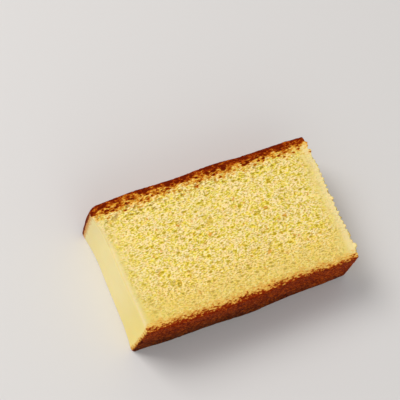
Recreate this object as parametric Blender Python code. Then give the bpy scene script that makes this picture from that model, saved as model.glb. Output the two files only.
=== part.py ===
"""A slice of castella, the tall honey sponge that is baked in a wooden frame.

The slice lies on one cut face and shows the other. X runs along the slice, from the
moulded end at -X to the sawn end at +X. Y runs from the bottom crust up to the top
crust, and Z up through the thickness. The origin is the middle of the footprint, on
the surface that the slice lies on. All sizes are in metres.
"""

import math

import bmesh
import bpy
from mathutils import Vector, noise

# Driving dimensions of the slice
LENGTH = 0.1012  # along the top crust, which is the width of the loaf
HEIGHT = 0.0588  # bottom crust to top crust
THICKNESS = 0.0271  # between the two cuts

# The crusts, as the cut shows them
TOP_CRUST = 0.0024
BOTTOM_CRUST = 0.0021

# Corners of the outline and edges round the cut faces
SHOULDER_RADIUS = 0.0040  # where the top crust rolls over the moulded end
FOOT_RADIUS = 0.0016  # where the moulded end meets the bottom crust
SAWN_CORNER_RADIUS = 0.0007
RIDGE_ROUND = 0.0015  # the soft edge between the shown cut and the moulded end
EDGE_ROUND = 0.0005  # every other edge of the shown cut
BACK_ROUND = 0.0006  # the edges of the cut that the slice lies on

# How far the form departs from a box
DOME = 0.0006  # rise of the top crust at mid length
LEAN = 0.0015  # at the shown cut, the foot of the moulded end stands in by this much
LIP = 0.0021  # at the shown cut, the top crust's lip stands out by this much
LIP_HEIGHT = 0.13  # how far down the lip fades, as a share of the height
SLANT = 0.0026  # at the other cut, the foot of the sawn end stands out by this much
HOLLOW_SHOWN = 0.0004  # the moulded end sinks in between the crusts, little at the shown cut
HOLLOW_BACK = 0.0014  # and more at the cut that the slice lies on
BELLY_DEPTH = 0.0011  # the bottom crust swells out
BELLY_SHOWN_PLACE = -0.015  # most here at the shown cut
BELLY_SHOWN_WIDTH = 0.016
BELLY_BACK_PLACE = 0.002  # and wider at the other cut
BELLY_BACK_WIDTH = 0.028
WAVE_LENGTH = 0.036  # slow waves of the crusts and the cut
WAVE_HEIGHT = 0.00022

# Relief of the crumb and the crusts
PIT_LENGTH = 0.0056  # pits are longer along the slice than across it
PIT_WIDTH = 0.0040
PIT_DEPTH = 0.0012
MOULDED_SHARE = 0.12  # the moulded end is smooth, with only this share of the pits
CRUST_GRAIN = 0.0014
CRUST_DEPTH = 0.00022

# Mesh spacing
COLUMNS = 50
ROWS = 29
ROUND_STEPS = 2
SIDE_STEPS = 9

CRUMB_COLOUR = (0.79, 0.60, 0.19, 1.0)
CRUST_COLOUR = (0.16, 0.035, 0.010, 1.0)
CRUMB_ROUGHNESS = 0.85
CRUST_ROUGHNESS = 0.60


def clear_scene():
    for thing in list(bpy.data.objects):
        bpy.data.objects.remove(thing, do_unlink=True)


def smooth_step(value):
    """0 below 0, 1 above 1, and an even S-curve between."""
    value = min(max(value, 0.0), 1.0)
    return value * value * (3.0 - 2.0 * value)


def corner_radius(u, v):
    """Radius of the outline's corner nearest to (u, v)."""
    if u > 0.5:
        return SAWN_CORNER_RADIUS
    return SHOULDER_RADIUS if v > 0.5 else FOOT_RADIUS


def edge_round(u, v):
    """Radius of the shown cut's edge: large along the moulded end, small elsewhere."""
    near_end = (1.0 - u) ** 6 * math.sqrt(max(math.sin(math.pi * v), 0.0))
    return EDGE_ROUND + (RIDGE_ROUND - EDGE_ROUND) * near_end


def outline_place(u, v, inset):
    """(x, y) of a place in the unit square, on a rectangle with round corners.

    The rectangle is drawn in by the inset. Inside each corner's square, the distance
    from the arc's centre is shrunk from the larger side to the true length, which
    turns the square corner into an arc.
    """
    half_x = LENGTH / 2 - inset
    half_y = HEIGHT / 2 - inset
    x = (2 * u - 1) * half_x
    y = (2 * v - 1) * half_y
    radius = max(corner_radius(u, v) - inset, EDGE_ROUND / 2)
    past_x = abs(x) - (half_x - radius)
    past_y = abs(y) - (half_y - radius)
    if past_x > 0 and past_y > 0:
        shrink = max(past_x, past_y) / math.hypot(past_x, past_y)
        x = math.copysign(half_x - radius + past_x * shrink, x)
        y = math.copysign(half_y - radius + past_y * shrink, y)
    return x, y


def side_profile(u, v, step):
    """(inset, z) of a row of the side, from the shown cut at step 0 to the back."""
    front = edge_round(u, v)
    if step <= ROUND_STEPS:
        angle = math.pi / 2 * step / ROUND_STEPS
        return front * (1 - math.sin(angle)), THICKNESS - front * (1 - math.cos(angle))
    if step <= ROUND_STEPS + SIDE_STEPS:
        share = (step - ROUND_STEPS) / SIDE_STEPS
        return 0.0, THICKNESS - front + share * (BACK_ROUND + front - THICKNESS)
    angle = math.pi / 2 * (step - ROUND_STEPS - SIDE_STEPS) / ROUND_STEPS
    return BACK_ROUND * (1 - math.cos(angle)), BACK_ROUND * (1 - math.sin(angle))


def moulded_hollow(y, z):
    """How far the moulded end stands in at a height, between the two crusts."""
    down = 0.5 - y / HEIGHT
    arch = math.sin(math.pi * min(max((down - 0.05) / 0.90, 0.0), 1.0))
    depth = HOLLOW_BACK + (HOLLOW_SHOWN - HOLLOW_BACK) * z / THICKNESS
    return depth * arch**0.7


def settled(x, y, z):
    """The place with the slice's leaning ends, dome, belly, hollow and waves added."""
    along = 2 * x / LENGTH
    up = 2 * y / HEIGHT
    lift = z / THICKNESS
    wave_x = math.sin(2 * math.pi * x / WAVE_LENGTH + 0.8)
    wave_y = math.sin(2 * math.pi * y / WAVE_LENGTH + 2.1 + 3.0 * along)
    belly_place = BELLY_BACK_PLACE + (BELLY_SHOWN_PLACE - BELLY_BACK_PLACE) * lift
    belly_width = BELLY_BACK_WIDTH + (BELLY_SHOWN_WIDTH - BELLY_BACK_WIDTH) * lift
    belly = BELLY_DEPTH * math.exp(-(((x - belly_place) / belly_width) ** 2))
    lip = LIP * lift * (2 - lift) * math.exp(-(((0.5 - y / HEIGHT) / LIP_HEIGHT) ** 2))
    new_x = x + LEAN * lift * (1 - along) * (1 - up) / 4
    new_x += SLANT * (1 - lift) * (1 + along) * (1 - up) / 4
    new_x += (moulded_hollow(y, z) - lip) * max(-along, 0.0) ** 10
    new_x += WAVE_HEIGHT * wave_y * along**4
    new_y = y + DOME * (1 - along**2) * (1 + up) / 2
    new_y -= belly * max(-up, 0.0) ** 3
    new_y += WAVE_HEIGHT * wave_x * up**3
    new_z = z + WAVE_HEIGHT * lift**2 * wave_x * wave_y
    return Vector((new_x, new_y, new_z))


def relief_depth(place, along, up):
    """How far the surface sinks: cell-shaped pits in the crumb, a fine grain on crust."""
    below_top = HEIGHT / 2 * (1 - up)
    above_bottom = HEIGHT / 2 * (1 + up)
    crumb = smooth_step((below_top - TOP_CRUST) / 0.001)
    crumb *= smooth_step((above_bottom - BOTTOM_CRUST) / 0.001)
    moulded = smooth_step((-along - 0.965) / 0.03)
    pits = 1 - (1 - MOULDED_SHARE) * moulded
    cell = Vector((place.x / PIT_LENGTH, place.y / PIT_WIDTH, place.z / PIT_WIDTH))
    nearest = noise.voronoi(cell)[0][0]
    pit = PIT_DEPTH * max(0.0, 1.0 - 1.7 * nearest)
    grain = CRUST_DEPTH * (0.5 + 0.5 * noise.noise(place / CRUST_GRAIN))
    return crumb * pits * pit + (1 - crumb) * grain


def unit_shell():
    """The slice's closed mesh in unit places: (u, v, -step) for every vertex.

    The shown cut is a grid. Its edge loop is extruded down one step at a time, and
    the last loop is closed with one flat face.
    """
    shell = bmesh.new()
    bmesh.ops.create_grid(shell, x_segments=COLUMNS, y_segments=ROWS, size=0.5)
    widest = max(vertex.co.x for vertex in shell.verts)
    for vertex in shell.verts:
        vertex.co = vertex.co / (2 * widest) + Vector((0.5, 0.5, 0.0))
    loop = [edge for edge in shell.edges if edge.is_boundary]
    for _ in range(2 * ROUND_STEPS + SIDE_STEPS):
        made = bmesh.ops.extrude_edge_only(shell, edges=loop)["geom"]
        lower = [item for item in made if isinstance(item, bmesh.types.BMVert)]
        bmesh.ops.translate(shell, verts=lower, vec=(0, 0, -1))
        loop = [item for item in made if isinstance(item, bmesh.types.BMEdge)]
        loop = [edge for edge in loop if edge.is_boundary]
    bmesh.ops.contextual_create(shell, geom=loop)
    bmesh.ops.recalc_face_normals(shell, faces=shell.faces)
    return shell


def shape_shell(shell):
    """Moves every vertex from its unit place to its real one, then adds the relief."""
    plain_places = {}
    for vertex in shell.verts:
        u, v, step = vertex.co.x, vertex.co.y, round(-vertex.co.z)
        inset, z = side_profile(u, v, step)
        x, y = outline_place(u, v, inset)
        plain_places[vertex] = (2 * x / LENGTH, 2 * y / HEIGHT)
        vertex.co = settled(x, y, z)
    shell.normal_update()
    sunk = {}
    for vertex, (along, up) in plain_places.items():
        lifted = smooth_step((vertex.co.z - 2 * BACK_ROUND) / 0.002)
        depth = lifted * relief_depth(vertex.co, along, up)
        sunk[vertex] = vertex.co - depth * vertex.normal
    for vertex, place in sunk.items():
        vertex.co = place


def centre_footprint(shell):
    """Slides the slice level, so that the middle of its box is over the origin."""
    across = [vertex.co.x for vertex in shell.verts]
    along = [vertex.co.y for vertex in shell.verts]
    middle = Vector((min(across) + max(across), min(along) + max(along), 0.0)) / 2
    bmesh.ops.translate(shell, verts=shell.verts, vec=-middle)


def finish(name, colour, roughness):
    """A plain surface finish of one colour."""
    material = bpy.data.materials.new(name)
    material.use_nodes = True
    surface = material.node_tree.nodes["Principled BSDF"]
    surface.inputs["Base Color"].default_value = colour
    surface.inputs["Roughness"].default_value = roughness
    surface.inputs["Metallic"].default_value = 0.0
    material.diffuse_color = colour
    return material


def make_slice():
    """One solid: the crumb with its two crusts, which the finishes tell apart."""
    shell = unit_shell()
    shape_shell(shell)
    centre_footprint(shell)
    for face in shell.faces:
        middle = face.calc_center_median()
        above_bottom = middle.y + HEIGHT / 2
        below_top = HEIGHT / 2 - middle.y
        in_crust = above_bottom < BOTTOM_CRUST or below_top < TOP_CRUST
        face.material_index = 1 if in_crust else 0
    mesh = bpy.data.meshes.new("castella_slice")
    shell.to_mesh(mesh)
    shell.free()
    mesh.materials.append(finish("crumb", CRUMB_COLOUR, CRUMB_ROUGHNESS))
    mesh.materials.append(finish("crust", CRUST_COLOUR, CRUST_ROUGHNESS))
    piece = bpy.data.objects.new("castella_slice", mesh)
    bpy.context.scene.collection.objects.link(piece)
    return piece


clear_scene()
make_slice()
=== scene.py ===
"""The looks of one slice of castella, lying on a cut face with the other cut shown.

The slice is one closed mesh, worked out as whole arrays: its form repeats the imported
solid's from the same dimensions, and the open crumb, the crusts' grain and the soft
moulded end are relief on it. Lengths are in metres unless a comment says millimetres.

A range is a pair of numbers, where an S-curve starts and where it ends. Where it has
four numbers, the last two are the values there, instead of 0 and 1.
"""

import math

import bpy
import numpy as np
from mathutils import Matrix, Vector


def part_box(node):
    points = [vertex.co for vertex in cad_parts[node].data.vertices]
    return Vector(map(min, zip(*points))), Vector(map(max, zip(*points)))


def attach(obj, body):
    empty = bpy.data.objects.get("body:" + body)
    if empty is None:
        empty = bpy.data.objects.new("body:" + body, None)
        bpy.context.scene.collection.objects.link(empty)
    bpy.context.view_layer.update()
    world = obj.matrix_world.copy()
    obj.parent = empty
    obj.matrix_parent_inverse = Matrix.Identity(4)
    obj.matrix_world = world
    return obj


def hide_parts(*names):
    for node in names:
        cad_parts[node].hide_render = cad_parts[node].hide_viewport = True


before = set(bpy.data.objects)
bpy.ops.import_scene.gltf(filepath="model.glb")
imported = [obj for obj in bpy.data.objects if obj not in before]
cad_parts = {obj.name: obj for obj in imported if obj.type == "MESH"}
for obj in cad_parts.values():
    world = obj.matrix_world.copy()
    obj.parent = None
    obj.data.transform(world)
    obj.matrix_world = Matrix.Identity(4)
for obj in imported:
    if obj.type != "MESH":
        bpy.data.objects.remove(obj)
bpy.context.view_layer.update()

MM = 0.001

# The slice's form, as the solid has it
LENGTH = 0.1012
HEIGHT = 0.0588
THICKNESS = 0.0271
SHOULDER_RADIUS = 0.0040
FOOT_RADIUS = 0.0016
SAWN_CORNER_RADIUS = 0.0007
RIDGE_ROUND = 0.0015
EDGE_ROUND = 0.0005
BACK_ROUND = 0.0006
DOME = 0.0006
LEAN = 0.0015
LIP = 0.0021
LIP_HEIGHT = 0.13
SLANT = 0.0026
HOLLOW_SHOWN = 0.0004
HOLLOW_BACK = 0.0014
HOLLOW_START = 0.05
HOLLOW_SPAN = 0.90
HOLLOW_FULLNESS = 0.7
BELLY_DEPTH = 0.0011
BELLY_SHOWN_PLACE = -0.015
BELLY_SHOWN_WIDTH = 0.016
BELLY_BACK_PLACE = 0.002
BELLY_BACK_WIDTH = 0.028
WAVE_LENGTH = 0.036
WAVE_HEIGHT = 0.00022
WAVE_PHASE_X = 0.8
WAVE_PHASE_Y = 2.1
WAVE_TWIST = 3.0

# Mesh spacing: the shown cut is the finest, and the far part of the sides is halved
COLUMNS = 288
ROWS = 168
ROUND_STEPS = 4
FINE_STEPS = 28
COARSE_STEPS = 17
FINE_SHARE = 0.46
FINE_GROWTH = 1.12

# Directions of the surface: what counts as a side, as uncut, as shown, as the sawn end
# and as level, each a range of one part of the outward normal
SIDE_FACING = (0.75, 0.35)
UNCUT_FACING = (0.7, 0.3)
SHOWN_FACING = (0.5, 0.9)
SAWN_FACING = (0.15, 0.7)
LEVEL_FACING = (0.3, 0.8)

# Cells of the crumb's relief: the cell's size and how deep an open cell sinks, both in
# millimetres, the wall between cells as a share of the size, and the share that is shut
PORE_STRETCH = 1.5
LARGE_CELLS = dict(cell=2.0, wall=0.35, depth=0.55)
LARGE_SHUT = 0.996
MIDDLE_CELLS = dict(cell=1.2, wall=0.40, depth=0.55)
MIDDLE_SHUT = 0.95
SMALL_CELLS = dict(cell=0.80, wall=0.50, depth=0.38)
SMALL_SHUT = 0.50
MORE_LARGE_NEAR_TOP = 0.01
MORE_MIDDLE_NEAR_TOP = 0.33
DEEPER_NEAR_TOP = 0.5
MIDDLE_OFFSET = 7.7
SMALL_OFFSET = 3.3
STRENGTH_POWER = 0.6

# What the crumb keeps of its coarseness and loses of its openness, as shares, and the
# share of the openness that comes back close to the moulded end
COARSE_AT_SAWN_END = 0.45
COARSE_AT_FOOT = 0.3
SMALL_AT_FOOT = 0.6
LOSS_AT_FOOT = 0.42
LOSS_AT_SAWN_EDGE = 0.66
LOSS_ON_SKIN = 0.95
OPEN_SHARE_NEAR = 0.70

# Where the relief changes, in millimetres from the face that each name gives, or along
# X from the slice's middle for COARSE_ALONG
CRUMB_BELOW_TOP = (1.7, 3.2)
CRUMB_ABOVE_BOTTOM = (1.0, 2.2)
COARSE_BELOW_TOP = (10.0, 4.0)
COARSE_ALONG = (35.0, 0.0)
COARSE_ABOVE_BOTTOM = (3.0, 18.0)
OPEN_FROM_MOULDED = (0.3, 4.4)
OPENER_FROM_MOULDED = (4.0, 18.0)
WIDER_OPEN_BELOW_TOP = (24.0, 5.0)
WIDER_OPEN = 2.6
CLOSER_ABOVE_BOTTOM = (20.0, 4.0)
OPEN_FROM_SAWN = (1.0, 11.0)

# Heights and sizes of the relief's waves in millimetres, then how far out the nibs and
# the crumb are shifted, and the share of the grain that makes a pore shallower
BEND_HEIGHT = 0.30
BEND_SIZE = 1.3
GRAIN_HEIGHT = 0.11
GRAIN_SIZE = (1.2, 0.8, 1.2)
FLAKE_HEIGHT = 0.16
FLAKE_SIZE = (1.1, 0.8, 1.1)
WRINKLE_HEIGHT = 0.15
WRINKLE_SIZE = 2.2
RIPPLE_HEIGHT = 0.10
RIPPLE_SIZE = (7.0, 5.0, 7.0)
NIB_HEIGHT = 0.85
NIB_SIZE = 1.1
NIB_OUT = 0.25
CRUMB_OUT = 0.15
GRAIN_IN_PORES = 0.6

# How far slow noise moves the borders of the crumb, in millimetres
TOP_WANDER = 0.6
BOTTOM_WANDER = 0.5
SKIN_WANDER = 1.3
SAWN_WANDER = 0.8

# Millimetres over the hidden cut between which relief stops only sinking
FREE_OF_FLOOR = (0.2, 1.6)

# Odd numbers and shifts that mix the bits of a place in the lattice, and the largest
# 32-bit number
SALT_MIX = (97, 13)
AXIS_MIX = (374761393, 668265263, 2246822519)
ROUND_MIX = ((15, 2654435761), (13, 1274126177))
LAST_SHIFT = 16
LARGEST = 4294967295.0


def smooth_step(low, high, value):
    """0 at low, 1 at high, and an even S-curve between."""
    share = np.clip((value - low) / (high - low), 0.0, 1.0)
    return share * share * (3.0 - 2.0 * share)


def raised(least, share):
    """The share, from 0 to 1, pressed into the range from the least value to 1."""
    return least + (1.0 - least) * share


def lattice_random(cells, salt):
    """A number from 0 to 1 for every whole-number place, by mixing its bits."""
    mixed = cells.astype(np.int64).astype(np.uint32)
    value = np.uint32(salt * SALT_MIX[0] + SALT_MIX[1])
    for axis, factor in enumerate(AXIS_MIX):
        value = value + mixed[..., axis] * np.uint32(factor)
    for bits, factor in ROUND_MIX:
        value = (value ^ (value >> np.uint32(bits))) * np.uint32(factor)
    value = value ^ (value >> np.uint32(LAST_SHIFT))
    return value.astype(np.float64) / LARGEST


def value_noise(places, salt):
    """Smooth noise from -1 to 1: random corner values of unit cubes, eased between."""
    base = np.floor(places)
    share = places - base
    ease = share * share * (3.0 - 2.0 * share)
    total = np.zeros(places.shape[:-1])
    for corner in np.ndindex(2, 2, 2):
        weight = np.ones(places.shape[:-1])
        for axis, side in enumerate(corner):
            weight = weight * (ease[..., axis] if side else 1.0 - ease[..., axis])
        total += weight * lattice_random(base + np.array(corner), salt)
    return 2.0 * total - 1.0


def layered_noise(places, salt, layers):
    """Noise added to itself at twice the fineness and about half the strength."""
    total = np.zeros(places.shape[:-1])
    for layer in range(layers):
        total += value_noise(places * 2.0**layer, salt + layer) * 0.55**layer
    return total


def open_cells(places, shut, cell, wall, depth, salt):
    """How deep a layer of foam cells sinks at each place, in millimetres.

    One seed sits at a random place in each cube of the cell size, and a place belongs
    to the nearest seed of the 27 cubes round it. The gap between the two nearest
    distances is 0 on a wall and grows inwards, so depth * strength * S-curve(gap / wall)
    gives pits with walls between them. The strength is the cell's own, and 0 if shut.
    """
    scaled = places / cell
    base = np.floor(scaled)
    nearest = np.full(places.shape[:-1], np.inf)
    second = np.full(places.shape[:-1], np.inf)
    own = np.zeros(places.shape[:-1])
    for step in np.ndindex(3, 3, 3):
        cube = base + (np.array(step) - 1)
        seed = [cube[..., axis] + lattice_random(cube, salt + axis) for axis in range(3)]
        distance = np.sqrt(((scaled - np.stack(seed, axis=-1)) ** 2).sum(axis=-1))
        closer = distance < nearest
        second = np.where(closer, nearest, np.minimum(second, distance))
        nearest = np.where(closer, distance, nearest)
        own = np.where(closer, lattice_random(cube, salt + 3), own)
    strength = np.clip((own - shut) / (1.0 - shut), 0.0, 1.0) ** STRENGTH_POWER
    return depth * strength * smooth_step(0.0, wall, second - nearest)


def outline_place(u, v, inset):
    """Rectangle with round corners, drawn in by the inset, from unit-square places.

    Inside each corner's square, the distance from the arc's centre is shrunk from the
    larger side to the true length, which turns the square corner into an arc.
    """
    half_x = LENGTH / 2 - inset
    half_y = HEIGHT / 2 - inset
    x = (2 * u - 1) * half_x
    y = (2 * v - 1) * half_y
    moulded = np.where(v > 0.5, SHOULDER_RADIUS, FOOT_RADIUS)
    radius = np.where(u > 0.5, SAWN_CORNER_RADIUS, moulded)
    radius = np.maximum(radius - inset, EDGE_ROUND / 2)
    past_x = np.abs(x) - (half_x - radius)
    past_y = np.abs(y) - (half_y - radius)
    in_corner = (past_x > 0) & (past_y > 0)
    length = np.maximum(np.hypot(past_x, past_y), 1e-9)
    shrink = np.maximum(past_x, past_y) / length
    round_x = np.copysign(half_x - radius + past_x * shrink, x)
    round_y = np.copysign(half_y - radius + past_y * shrink, y)
    return np.where(in_corner, round_x, x), np.where(in_corner, round_y, y)


def edge_round(u, v):
    """Radius of the shown cut's edge: large along the moulded end, small elsewhere."""
    near_end = (1.0 - u) ** 6 * np.sqrt(np.clip(np.sin(math.pi * v), 0.0, 1.0))
    return EDGE_ROUND + (RIDGE_ROUND - EDGE_ROUND) * near_end


def moulded_hollow(y, z):
    """How far the moulded end stands in, between the two crusts.

    The depth goes from the hidden cut's to the shown cut's, times a half turn of sine
    from the top to the bottom, raised to a power that fills it out.
    """
    down = 0.5 - y / HEIGHT
    arch = np.sin(math.pi * np.clip((down - HOLLOW_START) / HOLLOW_SPAN, 0.0, 1.0))
    depth = HOLLOW_BACK + (HOLLOW_SHOWN - HOLLOW_BACK) * z / THICKNESS
    return depth * np.clip(arch, 0.0, None) ** HOLLOW_FULLNESS


def settled(x, y, z):
    """The place with the slice's leaning ends, dome, belly, hollow and waves added.

    Each is its length times a fade. The fades are powers of how far along, how far up
    and how far lifted towards the shown cut the place is, and a bell curve for the
    belly of the bottom and for the lip of the moulded end under the top.
    """
    along = 2 * x / LENGTH
    up = 2 * y / HEIGHT
    lift = z / THICKNESS
    wave_x = np.sin(2 * math.pi * x / WAVE_LENGTH + WAVE_PHASE_X)
    wave_y = np.sin(2 * math.pi * y / WAVE_LENGTH + WAVE_PHASE_Y + WAVE_TWIST * along)
    belly_place = BELLY_BACK_PLACE + (BELLY_SHOWN_PLACE - BELLY_BACK_PLACE) * lift
    belly_width = BELLY_BACK_WIDTH + (BELLY_SHOWN_WIDTH - BELLY_BACK_WIDTH) * lift
    belly = BELLY_DEPTH * np.exp(-(((x - belly_place) / belly_width) ** 2))
    lip = LIP * lift * (2 - lift) * np.exp(-(((0.5 - y / HEIGHT) / LIP_HEIGHT) ** 2))
    new_x = x + LEAN * lift * (1 - along) * (1 - up) / 4
    new_x = new_x + SLANT * (1 - lift) * (1 + along) * (1 - up) / 4
    new_x = new_x + (moulded_hollow(y, z) - lip) * np.clip(-along, 0.0, None) ** 10
    new_x = new_x + WAVE_HEIGHT * wave_y * along**4
    new_y = y + DOME * (1 - along**2) * (1 + up) / 2
    new_y = new_y - belly * np.clip(-up, 0.0, None) ** 3
    new_y = new_y + WAVE_HEIGHT * wave_x * up**3
    new_z = z + WAVE_HEIGHT * lift**2 * wave_x * wave_y
    return np.stack([new_x, new_y, new_z], axis=-1)


def rim_loop(columns, rows):
    """Unit-square places round the rim, anticlockwise from the lower left corner."""
    lower = np.stack([np.arange(columns) / columns, np.zeros(columns)], axis=-1)
    right = np.stack([np.ones(rows), np.arange(rows) / rows], axis=-1)
    return np.concatenate([lower, right, 1.0 - lower, 1.0 - right])


def rim_numbers(columns, rows):
    """The grid's vertex numbers in the same order as rim_loop."""
    width = columns + 1
    lower = np.arange(columns)
    right = np.arange(rows) * width + columns
    last = width * (rows + 1) - 1
    return np.concatenate([lower, right, last - lower, last - right])


def unit_grid(columns, rows):
    """(u, v) of a grid's vertices in the unit square, row by row from the lower left."""
    u, v = np.meshgrid(np.arange(columns + 1) / columns, np.arange(rows + 1) / rows)
    return u.reshape(-1), v.reshape(-1)


def grid_faces(columns, rows, first):
    """Four-sided faces of a grid whose vertices are numbered row by row from first."""
    corner = first + np.arange(columns)[None, :] + (columns + 1) * np.arange(rows)[:, None]
    corner = corner.reshape(-1)
    width = columns + 1
    return np.stack([corner, corner + 1, corner + width + 1, corner + width], axis=-1)


def ring_faces(upper, lower):
    """Faces between two loops of as many vertices, the upper one nearer the shown cut."""
    return np.stack([upper, lower, np.roll(lower, -1), np.roll(upper, -1)], axis=-1)


def halving_faces(upper, lower):
    """Triangles between a loop and one of half as many vertices below it."""
    first, middle, last = upper[0::2], upper[1::2], np.roll(upper, -2)[0::2]
    after = np.roll(lower, -1)
    left = np.stack([first, lower, middle], axis=-1)
    centre = np.stack([middle, lower, after], axis=-1)
    right = np.stack([middle, after, last], axis=-1)
    return np.concatenate([left, centre, right])


def side_rows():
    """(share of the front rounding, share down the side, share of the back rounding)."""
    quarter = np.arange(1, ROUND_STEPS + 1) / ROUND_STEPS
    fine = FINE_SHARE * (np.arange(1, FINE_STEPS + 1) / FINE_STEPS) ** FINE_GROWTH
    coarse = FINE_SHARE + (1 - FINE_SHARE) * np.arange(1, COARSE_STEPS + 1) / COARSE_STEPS
    upper = [(share, 0.0, 0.0) for share in quarter] + [(1.0, share, 0.0) for share in fine]
    lower = [(1.0, share, 0.0) for share in coarse] + [(1.0, 1.0, share) for share in (0.5, 1.0)]
    return upper, lower


def side_ring(loop, row):
    """A row of the side: the rim drawn in by the rounding's sine, at its height."""
    u, v = loop[:, 0], loop[:, 1]
    front, down, back = row
    radius = edge_round(u, v)
    angle = math.pi / 2 * front
    inset = radius * (1 - math.sin(angle))
    z = THICKNESS - radius * (1 - math.cos(angle))
    z = z + down * (BACK_ROUND - (THICKNESS - radius))
    turn = math.pi / 2 * back
    inset = inset + BACK_ROUND * (1 - math.cos(turn))
    z = z - BACK_ROUND * math.sin(turn)
    x, y = outline_place(u, v, inset)
    return np.stack([x, y, z], axis=-1)


def slice_shell():
    """Plain places and faces of the whole slice, before it settles and before relief.

    The shown cut is a fine grid. Rings of its rim go down the sides, halve in number,
    and end in a coarser grid, which is the cut that the slice lies on.
    """
    u, v = unit_grid(COLUMNS, ROWS)
    x, y = outline_place(u, v, edge_round(u, v))
    places = [np.stack([x, y, np.full_like(x, THICKNESS)], axis=-1)]
    faces = []
    quads = [grid_faces(COLUMNS, ROWS, 0)]
    count = len(x)
    ring = rim_numbers(COLUMNS, ROWS)
    fine_loop = rim_loop(COLUMNS, ROWS)
    coarse_loop = rim_loop(COLUMNS // 2, ROWS // 2)
    fine_rows, coarse_rows = side_rows()
    for row in fine_rows:
        places.append(side_ring(fine_loop, row))
        below = count + np.arange(len(fine_loop))
        quads.append(ring_faces(ring, below))
        ring, count = below, count + len(below)
    for number, row in enumerate(coarse_rows[:-1]):
        places.append(side_ring(coarse_loop, row))
        below = count + np.arange(len(coarse_loop))
        if number:
            quads.append(ring_faces(ring, below))
        else:
            faces.append(halving_faces(ring, below))
        ring, count = below, count + len(below)
    u, v = unit_grid(COLUMNS // 2, ROWS // 2)
    x, y = outline_place(u, v, np.full_like(u, BACK_ROUND))
    places.append(np.stack([x, y, np.zeros_like(x)], axis=-1))
    back_rim = count + rim_numbers(COLUMNS // 2, ROWS // 2)
    quads.append(ring_faces(ring, back_rim))
    back = grid_faces(COLUMNS // 2, ROWS // 2, count)
    quads.append(back[:, ::-1])
    return np.concatenate(places), np.concatenate(quads), np.concatenate(faces)


def corner_normals(places, triangles):
    """Each vertex's outward direction, the sum of its triangles' area vectors."""
    a, b, c = (places[triangles[:, n]] for n in range(3))
    area = np.cross(b - a, c - a)
    total = np.zeros_like(places)
    for n in range(3):
        for axis in range(3):
            total[:, axis] += np.bincount(
                triangles[:, n], weights=area[:, axis], minlength=len(places)
            )
    return total / np.maximum(np.linalg.norm(total, axis=1, keepdims=True), 1e-12)


def all_triangles(quads, triangles):
    """The quads split along one diagonal, with the triangles after them."""
    return np.concatenate([quads[:, [0, 1, 2]], quads[:, [0, 2, 3]], triangles])


def slice_layers(plain, normals):
    """What each vertex is part of: its place among the crusts, and what it faces.

    below_top is measured from the top crust's outside, round the shoulder's arc too.
    outer is 1 on the moulded end, the top and the bottom, which no knife has cut.
    """
    from_moulded = (plain[:, 0] + LENGTH / 2) / MM
    from_sawn = (LENGTH / 2 - plain[:, 0]) / MM
    below_top = (HEIGHT / 2 - plain[:, 1]) / MM
    shoulder = SHOULDER_RADIUS / MM
    past_x = np.clip(shoulder - from_moulded, 0.0, None)
    past_y = np.clip(shoulder - below_top, 0.0, None)
    arc_depth = shoulder - np.hypot(past_x, past_y)
    below_top = np.where((past_x > 0) & (past_y > 0), arc_depth, below_top)
    side = smooth_step(*SIDE_FACING, normals[:, 2])
    return {
        "below_top": np.clip(below_top, 0.0, None),
        "above_bottom": (HEIGHT / 2 + plain[:, 1]) / MM,
        "from_moulded": from_moulded,
        "from_sawn": from_sawn,
        "outer": side * smooth_step(*UNCUT_FACING, normals[:, 0]),
        "faces_up": side * normals[:, 1],
        "faces_cut": normals[:, 2],
    }


def pore_depths(bent, layers):
    """Depth of the pores in millimetres: the deepest of three layers of cells.

    The cells are stretched along the slice and through it. They are larger under the
    top crust, most of all towards the moulded end, and finer over the bottom one.
    """
    stretched = bent / np.array([PORE_STRETCH, 1.0, PORE_STRETCH])
    near_top = smooth_step(*COARSE_BELOW_TOP, layers["below_top"])
    near_top = near_top * raised(COARSE_AT_SAWN_END, smooth_step(*COARSE_ALONG, bent[:, 0]))
    large_shut = LARGE_SHUT - MORE_LARGE_NEAR_TOP * near_top
    middle_shut = MIDDLE_SHUT - MORE_MIDDLE_NEAR_TOP * near_top
    large = open_cells(stretched, large_shut, salt=101, **LARGE_CELLS)
    middle = open_cells(stretched + MIDDLE_OFFSET, middle_shut, salt=211, **MIDDLE_CELLS)
    small = open_cells(stretched + SMALL_OFFSET, SMALL_SHUT, salt=307, **SMALL_CELLS)
    coarse = smooth_step(*COARSE_ABOVE_BOTTOM, layers["above_bottom"])
    coarse = raised(COARSE_AT_FOOT, coarse)
    pores = np.maximum(large, middle) * coarse * (1.0 + DEEPER_NEAR_TOP * near_top)
    return np.maximum(pores, small * raised(SMALL_AT_FOOT, coarse))


def open_share(facing, layers, wander):
    """How open the crumb is, from 0 to 1, away from the crusts.

    It is pressed shut along the moulded end, least so under the top, it is closer over
    the bottom crust, and on the shown cut it closes again towards the sawn end.
    """
    from_skin = layers["from_moulded"]
    from_skin = from_skin + WIDER_OPEN * smooth_step(*WIDER_OPEN_BELOW_TOP, layers["below_top"])
    from_skin = from_skin + SKIN_WANDER * wander
    near = smooth_step(*OPEN_FROM_MOULDED, from_skin)
    far = smooth_step(*OPENER_FROM_MOULDED, from_skin)
    share = OPEN_SHARE_NEAR * near + (1.0 - OPEN_SHARE_NEAR) * far
    foot = smooth_step(*CLOSER_ABOVE_BOTTOM, layers["above_bottom"])
    share = share * (1 - LOSS_AT_FOOT * foot)
    shown = smooth_step(*SHOWN_FACING, facing[:, 2])
    from_sawn = layers["from_sawn"] + SAWN_WANDER * wander
    closed = 1 - smooth_step(*OPEN_FROM_SAWN, from_sawn)
    return share * (1 - LOSS_AT_SAWN_EDGE * shown * closed)


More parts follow.
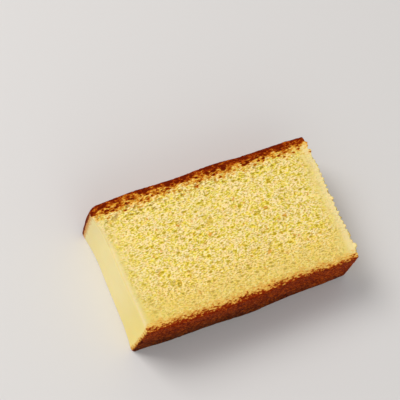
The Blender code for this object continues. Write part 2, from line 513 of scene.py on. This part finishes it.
def crumb_and_crust_relief(places, facing, layers):
    """(height, pore depth, openness): the height is how far a vertex moves out.

    Height and pore depth are in millimetres. Height is openness * (grain - pores) on
    the crumb, plus flakes on the cut crusts, wrinkles on the top and the bottom, a slow
    ripple on uncut skin, and torn nibs on the sawn end. Slow noise bends all of it.
    """
    bent = places / MM
    bend = [layered_noise(bent / BEND_SIZE, salt=salt, layers=2) for salt in (11, 23, 37)]
    bent = bent + BEND_HEIGHT * np.stack(bend, axis=-1)
    pores = pore_depths(bent, layers)
    grain = GRAIN_HEIGHT * layered_noise(bent / np.array(GRAIN_SIZE), salt=401, layers=2)
    below_top = layers["below_top"] + TOP_WANDER * bend[0]
    above_bottom = layers["above_bottom"] + BOTTOM_WANDER * bend[1]
    crumb = smooth_step(*CRUMB_BELOW_TOP, below_top)
    crumb = crumb * smooth_step(*CRUMB_ABOVE_BOTTOM, above_bottom)
    openness = crumb * (1 - LOSS_ON_SKIN * layers["outer"])
    openness = openness * open_share(facing, layers, bend[2])
    flakes = FLAKE_HEIGHT * layered_noise(bent / np.array(FLAKE_SIZE), salt=431, layers=2)
    wrinkles = WRINKLE_HEIGHT * layered_noise(bent / WRINKLE_SIZE, salt=443, layers=3)
    above = smooth_step(*LEVEL_FACING, np.abs(layers["faces_up"]))
    crust = (1 - crumb) * (1 - above) * flakes + above * wrinkles
    ripple = layered_noise(bent / np.array(RIPPLE_SIZE), salt=457, layers=2)
    ripple = RIPPLE_HEIGHT * layers["outer"] * ripple
    torn = smooth_step(*SAWN_FACING, facing[:, 0]) * crumb
    nibs = layered_noise(bent / NIB_SIZE, salt=467, layers=2) + NIB_OUT
    nibs = NIB_HEIGHT * torn * nibs
    height = openness * (grain - pores + CRUMB_OUT) + crust + ripple + nibs
    pore = np.clip(openness * (pores - GRAIN_IN_PORES * grain), 0.0, 1.0)
    return height, pore, openness


def settled_slice():
    """(places, quads, triangles, fields) of the finished slice.

    Relief moves each vertex along its normal. Near the hidden cut it only sinks, so
    that the slice lies flat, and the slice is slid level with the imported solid's box.
    """
    plain, quads, triangles = slice_shell()
    places = settled(plain[:, 0], plain[:, 1], plain[:, 2])
    split = all_triangles(quads, triangles)
    normals = corner_normals(places, split)
    layers = slice_layers(plain, corner_normals(plain, split))
    height, pore, openness = crumb_and_crust_relief(places, normals, layers)
    lifted = smooth_step(*FREE_OF_FLOOR, plain[:, 2] / MM)
    resting = (1 - lifted) * np.clip(height, None, 0.0)
    places = places + normals * ((lifted * height + resting) * MM)[:, None]
    places[:, 2] = np.clip(places[:, 2], 0.0, None)
    low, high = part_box("castella_slice")
    middle = (places.min(axis=0) + places.max(axis=0)) / 2
    places[:, 0] += (low.x + high.x) / 2 - middle[0]
    places[:, 1] += (low.y + high.y) / 2 - middle[1]
    return places, quads, triangles, {"pore": pore, "open": openness, **layers}


def mesh_from_arrays(name, places, quads, triangles, fields):
    """A Blender mesh of quads and triangles, with each named field's number per vertex."""
    mesh = bpy.data.meshes.new(name)
    corners = np.concatenate([quads.reshape(-1), triangles.reshape(-1)]).astype(np.int32)
    sizes = np.concatenate([np.full(len(quads), 4), np.full(len(triangles), 3)])
    starts = np.concatenate([[0], np.cumsum(sizes)[:-1]]).astype(np.int32)
    mesh.vertices.add(len(places))
    mesh.vertices.foreach_set("co", places.astype(np.float32).reshape(-1))
    mesh.loops.add(len(corners))
    mesh.loops.foreach_set("vertex_index", corners)
    mesh.polygons.add(len(sizes))
    mesh.polygons.foreach_set("loop_start", starts)
    mesh.update(calc_edges=True)
    mesh.validate()
    for field, values in fields.items():
        layer = mesh.attributes.new(field, "FLOAT", "POINT")
        layer.data.foreach_set("value", values.astype(np.float32))
    mesh.shade_smooth()
    return mesh


def colour(red, green, blue):
    """A shown colour, 0 to 255 each, as the linear values that shaders take."""
    shown = np.array([red, green, blue]) / 255.0
    linear = np.where(shown <= 0.04045, shown / 12.92, ((shown + 0.055) / 1.055) ** 2.4)
    return (*(float(value) for value in linear), 1.0)


# Colours of the crumb and of the uncut skin
LEMON_CRUMB = colour(246, 222, 78)
CREAM_CRUMB = colour(251, 222, 158)
GOLDEN_CRUMB = colour(247, 205, 90)
# Painted warm shade: the golden that crumb turned from the shown cut gets, as sponge looks in
# shade
PAINTED_SHADE_GOLD = colour(246, 198, 88)
# The shut crumb's colours sit darker than the open crumb's: painted shade for the pits that shut
# crumb lacks
CALM_CRUMB = colour(222, 205, 122)
CALM_RIDGE = colour(224, 207, 152)
CALM_FOOT = colour(222, 198, 102)
SAWN_CRUMB = colour(230, 208, 120)
# Painted highlight along the sawn edge
SAWN_EDGE_HIGHLIGHT = colour(237, 217, 154)
# Pale grains, partly paler crumb and partly painted highlight on lit crumb rims
PALE_GRAIN_AND_HIGHLIGHT = colour(255, 237, 180)
# Gaps and pores: painted shade in the crumb's hollows, partly real browning near the top crust
# and gold at the foot
GAP_SHADE = colour(192, 162, 16)
GAP_SHADE_AND_BROWN_NEAR_TOP = colour(98, 44, 2)
GAP_SHADE_AND_GOLD_NEAR_FOOT = colour(168, 122, 0)
PORE_SHADE = colour(212, 176, 44)
PORE_SHADE_AND_BROWN_NEAR_TOP = colour(132, 74, 14)
ORANGE_FLECK = colour(222, 150, 36)
SKIN = colour(244, 228, 168)
SKIN_GOLD = colour(241, 222, 150)
SKIN_FOOT = colour(236, 214, 128)
# Painted shade for the rounded ridge, which holds back the bright line the lamps put there
SKIN_RIDGE_SHADE = colour(230, 211, 142)
SINGED_RIM = colour(208, 132, 56)

# Colours of the crusts on the cut, each with its depth from the outside in millimetres
TOP_CRUST_STOPS = [
    (0.0, (106, 26, 2)),
    (0.7, (120, 34, 2)),
    (1.6, (142, 48, 5)),
    (2.3, (168, 70, 8)),
    (3.1, (204, 114, 20)),
    (4.1, (224, 158, 46)),
    (5.6, (236, 190, 84)),
]
BOTTOM_CRUST_STOPS = [
    (0.0, (122, 34, 6)),
    (0.95, (137, 42, 10)),
    (1.4, (181, 90, 22)),
    (1.9, (210, 142, 52)),
    (3.3, (228, 182, 88)),
]
# Colours of the uncut crusts, each with its place on the scale of the blotches
# The top's colours are its brown crust lightened towards pink: partly painted sheen from
# overhead light
TOP_BROWN_AND_SHEEN_STOPS = [(0.36, (138, 78, 60)), (0.50, (164, 102, 83)), (0.64, (188, 128, 108))]
ROLL_STOPS = [(0.38, (84, 24, 4)), (0.50, (112, 38, 6)), (0.64, (150, 66, 18))]
BOTTOM_STOPS = [(0.37, (84, 12, 0)), (0.50, (122, 32, 0)), (0.63, (194, 84, 16))]
# The resting colours are partly a browner crust and partly painted shade where the face meets
# the floor
RESTING_BROWN_AND_SHADE_STOPS = [(0.37, (22, 4, 0)), (0.50, (62, 18, 0)), (0.63, (140, 70, 14))]

# Patterns of the finish, as cells or waves per metre
GAP_SCALE = 880.0
GAP_RIM_SCALE = 2000.0
GRAIN_SCALE = 1800.0
TINT_SCALE = 360.0
FLECK_SCALE = 330.0
SKIN_SCALE = 90.0
CRUST_EDGE_SCALE = 900.0
FINE_EDGE_SCALE = 1500.0
WANDER_SCALE = 190.0
BLOTCH_SCALE = 1000.0

# Gaps between crumbs, in shares of a cell: the widths that a cell's chance gives, how
# ragged the rim is, where the gap and its halo fade, and how noise and place widen them
GAP_STRETCH = 2.1
GAP_WIDTHS = (0.30, 1.0, -0.1, 0.40)
GAP_WIDTH = 0.34
GAP_RAGGED = 0.7
GAP_FADE = (-0.10, 0.18)
HALO_FADE = (-0.50, 0.00)
WIDER_NEAR_TOP = 0.23
NARROWER_BY_TINT = 0.1

# Loose places between the gaps, by the noise of their rims
LOOSE_SHIFT = 0.055
LOOSE_BY_TINT = 0.25
LOOSE_GAPS = (0.54, 0.41, 0.0, 0.6)
LOOSE_HALO = (0.60, 0.46)

# How strongly each part of the crumb shows, by its noise or the mesh's field
TINT_BY_NOISE = (0.40, 0.60, -0.4, 0.4)
GRAIN_AND_HIGHLIGHT_BY_NOISE = (0.53, 0.59, 0.0, 0.8)
FLECK_BY_NOISE = (0.66, 0.74, 0.0, 0.85)
PORE_SHADE_BY_DEPTH = (0.05, 0.55, 0.0, 0.7)
OPEN_BY_FIELD = (0.1, 1.1)
SHADED_SIDE_BY_FACING = (0.75, 0.15, 0.0, 0.60)
RIDGE_SHADE_BY_FACING = (0.02, 0.45)
GOLDEN_SHARE = 0.66
GRAIN_LOSS_AT_GAPS = 0.7

# Where the finish changes, in millimetres from the face that each name gives
BROWN_BELOW_TOP = (13.0, 4.5)
GOLDEN_ABOVE_BOTTOM = (24.0, 4.0)
FLECKS_ABOVE_BOTTOM = (10.0, 2.5, 0.0, 0.09)
CALM_ABOVE_BOTTOM = (22.0, 3.0, 0.0, 0.7)
SKIN_ABOVE_BOTTOM = (26.0, 4.0, 0.0, 0.8)
RIDGE_FROM_MOULDED = (0.2, 3.2)
MARGIN_FROM_SAWN = (18.0, 9.0)
HIGHLIGHT_FROM_SAWN = (5.0, 1.5)
SINGED_BELOW_TOP = (5.9, 3.9, 0.0, 0.8)

# Where it changes along the slice's X and up its Z, in metres. The bottom's face gets
# lighter by its height, which takes a share of X and of the slow wander
BROWN_ALONG = (0.035, 0.0, 0.45, 1.0)
THINNER_ALONG = (-0.005, 0.035, 0.0, 0.8)
LIGHTER_UP = (-0.002, 0.030)
LIGHTER_ALONG = 0.25
LIGHTER_WANDER = 0.001

# Which surfaces the uncut crusts cover, by how far they face up or, below 0, down
TOP_FACING = (0.88, 0.99)
ROLL_FACING = (0.06, 0.13)
SINGED_FACING = (0.06, 0.16)
BOTTOM_FACING = (-0.35, -0.75)
CRUST_FACING = (0.2, 0.5)

# The crusts on the cut, in millimetres: how far their colours reach, where they fade
# into the crumb, how deep they are hard, and how far noise moves their edge
TOP_REACH = 8.0
TOP_FADE = (7.5, 4.2)
TOP_HARD = (4.0, 2.5)
BOTTOM_REACH = 6.0
BOTTOM_FADE = (5.0, 2.6)
BOTTOM_HARD = (2.2, 1.0)
EDGE_SHIFT = 13.0
EDGE_WANDER = 6.0
FINE_SHIFT = 8.0
GAP_PULL = -3.2
PAST_REACH = 20.0

# Shares of those: the gaps' own mean, the part of the bottom crust that skin loses, and
# how much of the edge's shift and wander the other borders and the blotches take
GAP_MEAN = 0.14
THINNER_ON_SKIN = 0.9
BOTTOM_SHIFT = 0.26
SINGED_SHIFT = 0.25
ROLL_SHIFT = 0.02
BLOTCH_WANDER = 0.02

# Gloss on crumb and on crust, the light that sinks in, and the bump: its height in
# metres, and how strongly ragged noise and the crusts' roughness show in it
ROUGHNESS = (0.90, 0.70)
SPECULAR = (0.10, 0.02)
SUBSURFACE = 0.3
SUBSURFACE_RADIUS = (1.0, 0.6, 0.25)
SUBSURFACE_SCALE = 0.0008
BUMP_DISTANCE = 0.00042
BUMP_BY_RAGGED = 0.5
BUMP_BY_CRUST = 0.5


class Wiring:
    """Adds shader nodes to one material and joins them.

    places are metres on the object. squashed is the same pressed together along the
    slice and through it, so that a pattern on it comes out stretched. along and height
    are the places' X and Z.
    """

    def __init__(self, tree):
        self.tree = tree
        self.places = self.node("ShaderNodeTexCoord").outputs["Object"]
        squash = self.node("ShaderNodeVectorMath", operation="MULTIPLY")
        self.put(squash.inputs[0], self.places)
        self.put(squash.inputs[1], (1 / GAP_STRETCH, 1.0, 1 / GAP_STRETCH))
        self.squashed = squash.outputs[0]
        split = self.node("ShaderNodeSeparateXYZ")
        self.put(split.inputs[0], self.places)
        self.along = split.outputs["X"]
        self.height = split.outputs["Z"]

    def node(self, kind, **settings):
        """A new node of a kind, with its settings."""
        made = self.tree.nodes.new(kind)
        for name, value in settings.items():
            setattr(made, name, value)
        return made

    def put(self, socket, value):
        """Joins another node's output to the socket, or sets a plain value on it."""
        if isinstance(value, bpy.types.NodeSocket):
            self.tree.links.new(value, socket)
        else:
            socket.default_value = value

    def field(self, name):
        """One of the mesh's number fields."""
        return self.node("ShaderNodeAttribute", attribute_name=name).outputs["Fac"]

    def maths(self, operation, first, second=0.0, clamp=False):
        """One sum on numbers or sockets, kept from 0 to 1 if clamped."""
        made = self.node("ShaderNodeMath", operation=operation, use_clamp=clamp)
        self.put(made.inputs[0], first)
        self.put(made.inputs[1], second)
        return made.outputs[0]

    def plus(self, first, second):
        return self.maths("ADD", first, second)

    def minus(self, first, second):
        return self.maths("SUBTRACT", first, second)

    def times(self, first, second):
        return self.maths("MULTIPLY", first, second)

    def larger(self, first, second):
        return self.maths("MAXIMUM", first, second)

    def swing(self, noise, reach):
        """Noise made even about 0: reach times the noise less its middle, 0.5."""
        return self.times(self.minus(noise, 0.5), reach)

    def step(self, value, low, high, start=0.0, end=1.0):
        """start at low, end at high, and an even S-curve between."""
        made = self.node("ShaderNodeMapRange", interpolation_type="SMOOTHSTEP")
        sockets = ("Value", "From Min", "From Max", "To Min", "To Max")
        for name, item in zip(sockets, (value, low, high, start, end)):
            self.put(made.inputs[name], item)
        return made.outputs[0]

    def blend(self, share, first, second):
        """The first colour where the share is 0, the second where it is 1."""
        made = self.node("ShaderNodeMix", data_type="RGBA")
        self.put(made.inputs[0], share)
        self.put(made.inputs[6], first)
        self.put(made.inputs[7], second)
        return made.outputs[2]

    def noise(self, places, per_metre, detail, roughness=0.5):
        """Noise from 0 to 1, mostly near 0.5, with finer layers as its detail says."""
        made = self.node("ShaderNodeTexNoise")
        self.put(made.inputs["Vector"], places)
        self.put(made.inputs["Scale"], per_metre)
        self.put(made.inputs["Detail"], detail)
        self.put(made.inputs["Roughness"], roughness)
        return made.outputs["Fac"]

    def gaps(self, ragged, wider):
        """(1 in gaps between crumbs, 1 in and round them): a spot in each cell.

        Each spot is as wide as its cell's own chance and the given width say. The ragged
        noise shifts the distance from the cell's seed, which breaks the rim.
        """
        cells = self.node("ShaderNodeTexVoronoi", feature="F1")
        self.put(cells.inputs["Scale"], GAP_SCALE)
        self.put(cells.inputs["Vector"], self.squashed)
        chance = self.node("ShaderNodeSeparateColor")
        self.put(chance.inputs[0], cells.outputs["Color"])
        width = self.plus(self.step(chance.outputs[0], *GAP_WIDTHS), wider)
        reach = self.plus(cells.outputs["Distance"], self.times(ragged, GAP_RAGGED))
        inside = self.minus(self.plus(width, GAP_WIDTH), reach)
        return self.step(inside, *GAP_FADE), self.step(inside, *HALO_FADE)

    def ramp(self, share, stops, reach=1.0):
        """Shown colours by share, with each stop's place as a share of the reach."""
        made = self.node("ShaderNodeValToRGB")
        band = made.color_ramp
        while len(band.elements) < len(stops):
            band.elements.new(0.5)
        for element, (place, shown) in zip(band.elements, stops):
            element.position = place / reach
            element.color = colour(*shown)
        self.put(made.inputs[0], share)
        return made.outputs[0]


def crumb_gaps(wire, near_top, tints):
    """(gaps, halo): a spot in each cell, and loose places where the rim's noise is low."""
    ragged = wire.noise(wire.squashed, GAP_RIM_SCALE, 2.0, 0.6)
    sparse = wire.swing(tints, NARROWER_BY_TINT)
    wider = wire.minus(wire.times(near_top, WIDER_NEAR_TOP), sparse)
    gaps, halo = wire.gaps(ragged, wider)
    loose = wire.plus(ragged, wire.times(sparse, LOOSE_BY_TINT))
    loose = wire.plus(loose, LOOSE_SHIFT)
    gaps = wire.larger(gaps, wire.step(loose, *LOOSE_GAPS))
    return gaps, wire.larger(halo, wire.step(loose, *LOOSE_HALO))


def open_crumb_colour(wire, gaps, halo, near_top, tints):
    """Cream crumb, lemon round its gaps and golden at the foot, with grains and flecks.

    The gaps and pores are painted shade in the crumb's hollows: deep yellow, and brown
    near the top crust, where the brown is partly the crust's real browning. The grains are
    pale, partly painted highlight, and the flecks orange, most of them just over the bottom
    crust.
    """
    above_bottom = wire.field("above_bottom")
    foot = wire.step(above_bottom, *GOLDEN_ABOVE_BOTTOM)
    tint = wire.minus(halo, wire.step(tints, *TINT_BY_NOISE))
    shown = wire.blend(tint, CREAM_CRUMB, LEMON_CRUMB)
    shown = wire.blend(wire.times(foot, GOLDEN_SHARE), shown, GOLDEN_CRUMB)
    # Pale grains: partly the crumb's own paler bits, partly painted highlight
    pale = wire.step(wire.noise(wire.squashed, GRAIN_SCALE, 1.0), *GRAIN_AND_HIGHLIGHT_BY_NOISE)
    pale = wire.minus(pale, wire.times(halo, GRAIN_LOSS_AT_GAPS))
    shown = wire.blend(pale, shown, PALE_GRAIN_AND_HIGHLIGHT)
    flecks = wire.noise(wire.places, FLECK_SCALE, 1.0)
    flecks = wire.plus(flecks, wire.step(above_bottom, *FLECKS_ABOVE_BOTTOM))
    shown = wire.blend(wire.step(flecks, *FLECK_BY_NOISE), shown, ORANGE_FLECK)
    # Painted shade in the gaps and, below, in the pores
    gap_shade = wire.blend(near_top, wire.blend(foot, GAP_SHADE, GAP_SHADE_AND_GOLD_NEAR_FOOT), GAP_SHADE_AND_BROWN_NEAR_TOP)
    shown = wire.blend(gaps, shown, gap_shade)
    pore_shade = wire.blend(near_top, PORE_SHADE, PORE_SHADE_AND_BROWN_NEAR_TOP)
    pore = wire.step(wire.field("pore"), *PORE_SHADE_BY_DEPTH)
    return wire.blend(pore, shown, pore_shade)


def closed_crumb_colour(wire):
    """Shut crumb, darker as painted shade for its missing pits: deeper at the foot, paler at the
    ridge and sawn end, with a painted highlight on the sawn edge.
    """
    foot = wire.step(wire.field("above_bottom"), *CALM_ABOVE_BOTTOM)
    from_sawn = wire.field("from_sawn")
    shown = wire.blend(foot, CALM_CRUMB, CALM_FOOT)
    ridge = wire.step(wire.field("from_moulded"), *RIDGE_FROM_MOULDED)
    shown = wire.blend(ridge, CALM_RIDGE, shown)
    shown = wire.blend(wire.step(from_sawn, *MARGIN_FROM_SAWN), shown, SAWN_CRUMB)
    # A pale band along the sawn edge: painted highlight
    return wire.blend(wire.step(from_sawn, *HIGHLIGHT_FROM_SAWN), shown, SAWN_EDGE_HIGHLIGHT)


def crumb_colour(wire):
    """(colour, gaps) of the crumb: open or closed as the mesh says, with painted golden shade on
    the sides.
    """
    tints = wire.noise(wire.places, TINT_SCALE, 2.0, 0.6)
    near_top = wire.step(wire.field("below_top"), *BROWN_BELOW_TOP)
    near_top = wire.times(near_top, wire.step(wire.along, *BROWN_ALONG))
    gaps, halo = crumb_gaps(wire, near_top, tints)
    shown = open_crumb_colour(wire, gaps, halo, near_top, tints)
    openness = wire.step(wire.field("open"), *OPEN_BY_FIELD)
    shown = wire.blend(openness, closed_crumb_colour(wire), shown)
    # Faces turned from the shown cut are tinted golden: painted warm shade
    side = wire.step(wire.field("faces_cut"), *SHADED_SIDE_BY_FACING)
    return wire.blend(side, shown, PAINTED_SHADE_GOLD), gaps


def skin_colour(wire):
    """The moulded end's pale skin, golden at its foot, with painted shade on its rounded ridge.
    """
    shown = wire.blend(wire.noise(wire.places, SKIN_SCALE, 2.0), SKIN, SKIN_GOLD)
    foot = wire.step(wire.field("above_bottom"), *SKIN_ABOVE_BOTTOM)
    shown = wire.blend(foot, shown, SKIN_FOOT)
    # Painted shade where the skin rounds over onto the shown cut
    ridge = wire.step(wire.field("faces_cut"), *RIDGE_SHADE_BY_FACING)
    return wire.blend(ridge, shown, SKIN_RIDGE_SHADE)


def top_crust_depth(wire, gaps, shift, wander):
    """Millimetres below the top, moved by noise and by gaps, and far down on uncut skin."""
    depth = wire.plus(wire.plus(wire.field("below_top"), shift), wander)
    depth = wire.plus(depth, wire.times(wire.minus(gaps, GAP_MEAN), GAP_PULL))
    return wire.plus(depth, wire.times(wire.field("outer"), PAST_REACH))


def bottom_crust_depth(wire, shift):
    """Millimetres above the bottom, moved by noise: thinner on skin and at the sawn end."""
    narrower = wire.plus(1.0, wire.times(wire.field("outer"), THINNER_ON_SKIN))
    depth = wire.times(wire.field("above_bottom"), narrower)
    depth = wire.plus(depth, wire.step(wire.along, *THINNER_ALONG))
    depth = wire.plus(depth, wire.times(shift, BOTTOM_SHIFT))
    fine = wire.noise(wire.squashed, FINE_EDGE_SCALE, 2.0, 0.6)
    return wire.plus(depth, wire.swing(fine, FINE_SHIFT))


def with_crust(wire, body, depth, stops, reach, fade):
    """The body's colour with a crust over it, coloured by its depth."""
    share = wire.maths("DIVIDE", depth, reach, clamp=True)
    return wire.blend(wire.step(depth, *fade), body, wire.ramp(share, stops, reach))


def with_top_face(wire, body, shift, blotches):
    """The top's brown with painted sheen, the darker roll round it and the singed line under
    that.
    """
    faces_up = wire.field("faces_up")
    singed = wire.plus(wire.field("below_top"), wire.times(shift, SINGED_SHIFT))
    singed = wire.step(singed, *SINGED_BELOW_TOP)
    singed = wire.times(singed, wire.field("outer"))
    rim = wire.plus(faces_up, wire.times(shift, ROLL_SHIFT))
    singed = wire.larger(singed, wire.step(rim, *SINGED_FACING))
    shown = wire.blend(singed, body, SINGED_RIM)
    roll = wire.ramp(blotches, ROLL_STOPS)
    shown = wire.blend(wire.step(rim, *ROLL_FACING), shown, roll)
    top = wire.ramp(blotches, TOP_BROWN_AND_SHEEN_STOPS)
    return wire.blend(wire.step(faces_up, *TOP_FACING), shown, top)


def with_bottom_face(wire, body, wander, blotches):
    """The bottom's face, darkest by the hidden cut, partly browner crust and partly painted
    shade by the floor, and lighter towards the sawn end.
    """
    height = wire.plus(wire.height, wire.times(wander, LIGHTER_WANDER))
    height = wire.plus(height, wire.times(wire.larger(wire.along, 0.0), LIGHTER_ALONG))
    dark = wire.ramp(blotches, RESTING_BROWN_AND_SHADE_STOPS)
    light = wire.ramp(blotches, BOTTOM_STOPS)
    shown = wire.blend(wire.step(height, *LIGHTER_UP), dark, light)
    return wire.blend(wire.step(wire.field("faces_up"), *BOTTOM_FACING), body, shown)


def crust_share(wire, top_depth, bottom_depth):
    """1 on the crusts, cut or not, and 0 on crumb and skin."""
    top_hard = wire.step(top_depth, *TOP_HARD)
    share = wire.larger(top_hard, wire.step(bottom_depth, *BOTTOM_HARD))
    level = wire.maths("ABSOLUTE", wire.field("faces_up"))
    return wire.larger(share, wire.step(level, *CRUST_FACING))


def grain_bump(wire, gaps, ragged, blotches, crusty):
    """A bumped normal: sunk gaps and ragged grain on open crumb, roughness on crusts."""
    grainy = wire.plus(wire.minus(1.0, gaps), wire.times(ragged, BUMP_BY_RAGGED))
    grainy = wire.times(grainy, wire.field("open"))
    rough = wire.times(wire.plus(ragged, blotches), wire.times(crusty, BUMP_BY_CRUST))
    bump = wire.node("ShaderNodeBump")
    wire.put(bump.inputs["Strength"], 1.0)
    wire.put(bump.inputs["Distance"], BUMP_DISTANCE)
    wire.put(bump.inputs["Height"], wire.plus(grainy, rough))
    return bump.outputs["Normal"]


def sponge_finish():
    """Crumb, crusts and moulded skin in one finish, told apart by the mesh's fields."""
    material = bpy.data.materials.new("sponge_finish")
    material.use_nodes = True
    wire = Wiring(material.node_tree)
    surface = material.node_tree.nodes["Principled BSDF"]
    ragged = wire.noise(wire.squashed, CRUST_EDGE_SCALE, 3.0, 0.65)
    shift = wire.swing(ragged, EDGE_SHIFT)
    wander = wire.swing(wire.noise(wire.places, WANDER_SCALE, 2.0), EDGE_WANDER)
    blotches = wire.noise(wire.places, BLOTCH_SCALE, 3.0, 0.75)
    blotches = wire.plus(blotches, wire.times(wander, BLOTCH_WANDER))

    crumb, gaps = crumb_colour(wire)
    shown = wire.blend(wire.field("outer"), crumb, skin_colour(wire))
    top_depth = top_crust_depth(wire, gaps, shift, wander)
    bottom_depth = bottom_crust_depth(wire, shift)
    shown = with_crust(wire, shown, top_depth, TOP_CRUST_STOPS, TOP_REACH, TOP_FADE)
    shown = with_crust(wire, shown, bottom_depth, BOTTOM_CRUST_STOPS, BOTTOM_REACH, BOTTOM_FADE)
    shown = with_top_face(wire, shown, shift, blotches)
    shown = with_bottom_face(wire, shown, wander, blotches)

    crusty = crust_share(wire, top_depth, bottom_depth)
    wire.put(surface.inputs["Base Color"], shown)
    wire.put(surface.inputs["Roughness"], wire.step(crusty, 0.0, 1.0, *ROUGHNESS))
    wire.put(surface.inputs["Specular IOR Level"], wire.step(crusty, 0.0, 1.0, *SPECULAR))
    wire.put(surface.inputs["Subsurface Weight"], SUBSURFACE)
    wire.put(surface.inputs["Subsurface Radius"], SUBSURFACE_RADIUS)
    wire.put(surface.inputs["Subsurface Scale"], SUBSURFACE_SCALE)
    wire.put(surface.inputs["Normal"], grain_bump(wire, gaps, ragged, blotches, crusty))
    return material


def make_slice():
    """The slice itself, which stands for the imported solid."""
    mesh = mesh_from_arrays("castella_crumb_and_crusts", *settled_slice())
    piece = bpy.data.objects.new("castella_crumb_and_crusts", mesh)
    bpy.context.scene.collection.objects.link(piece)
    piece.data.materials.append(sponge_finish())
    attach(piece, "root")
    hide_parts("castella_slice")


# The studio round the slice: its floor, its soft lamps and its even surround
FLOOR_RADIUS = 3.0
FLOOR_SIDES = 96
FLOOR_COLOUR = colour(212, 210, 209)
FLOOR_ROUGHNESS = 0.9
KEY_LAMP = dict(place=(-0.63, 0.70, 1.12), width=0.72, power=14.45, tint=(1.0, 0.98, 0.95))
FILL_LAMP = dict(place=(-0.3, -0.8, 0.6), width=0.9, power=2.1, tint=(0.97, 0.98, 1.0))
SURROUND_TINT = (1.0, 0.99, 0.98, 1.0)
SURROUND_STRENGTH = 0.50

# The camera: its lens and sensor in millimetres, its place, and its right and up
LENS = 137.25
SENSOR = 36.0
CLIP_START = 0.01
CAMERA_PLACE = (-0.22334, -0.13886, 0.61055)
CAMERA_RIGHT = (0.8915, -0.3919, 0.2273)
CAMERA_UP = (0.3009, 0.8873, 0.3496)


def floor_finish():
    """Matt pale grey."""
    material = bpy.data.materials.new("floor_finish")
    material.use_nodes = True
    surface = material.node_tree.nodes["Principled BSDF"]
    surface.inputs["Base Color"].default_value = FLOOR_COLOUR
    surface.inputs["Roughness"].default_value = FLOOR_ROUGHNESS
    return material


def make_floor():
    """A round pale floor: one face with its corners evenly round a circle."""
    turns = 2 * math.pi * np.arange(FLOOR_SIDES) / FLOOR_SIDES
    rim = np.stack([np.cos(turns), np.sin(turns), np.zeros(FLOOR_SIDES)], axis=-1)
    mesh = bpy.data.meshes.new("floor")
    mesh.from_pydata((rim * FLOOR_RADIUS).tolist(), [], [tuple(range(FLOOR_SIDES))])
    mesh.materials.append(floor_finish())
    floor = bpy.data.objects.new("floor", mesh)
    bpy.context.scene.collection.objects.link(floor)


def make_lamp(name, place, width, power, tint):
    """A square soft box at a place, turned towards the slice."""
    data = bpy.data.lights.new(name, "AREA")
    data.size = width
    data.energy = power
    data.color = tint
    lamp = bpy.data.objects.new(name, data)
    lamp.location = place
    lamp.rotation_euler = (-Vector(place)).to_track_quat("-Z", "Y").to_euler()
    bpy.context.scene.collection.objects.link(lamp)


def make_light():
    """A soft key from the upper left of the picture, a fill, and an even pale surround."""
    make_lamp("key", **KEY_LAMP)
    make_lamp("fill", **FILL_LAMP)
    world = bpy.data.worlds.new("surround")
    world.use_nodes = True
    background = world.node_tree.nodes["Background"]
    background.inputs["Color"].default_value = SURROUND_TINT
    background.inputs["Strength"].default_value = SURROUND_STRENGTH
    bpy.context.scene.world = world


def make_camera():
    """The photograph's viewing angle, with a long lens."""
    data = bpy.data.cameras.new("view")
    data.sensor_width = SENSOR
    data.lens = LENS
    data.clip_start = CLIP_START
    camera = bpy.data.objects.new("view", data)
    right = Vector(CAMERA_RIGHT).normalized()
    back = right.cross(Vector(CAMERA_UP)).normalized()
    up = back.cross(right)
    turned = Matrix((right, up, back)).transposed().to_4x4()
    camera.matrix_world = Matrix.Translation(CAMERA_PLACE) @ turned
    bpy.context.scene.collection.objects.link(camera)
    bpy.context.scene.camera = camera


make_camera()
make_slice()
make_floor()
make_light()
bpy.context.scene.view_settings.view_transform = "Standard"
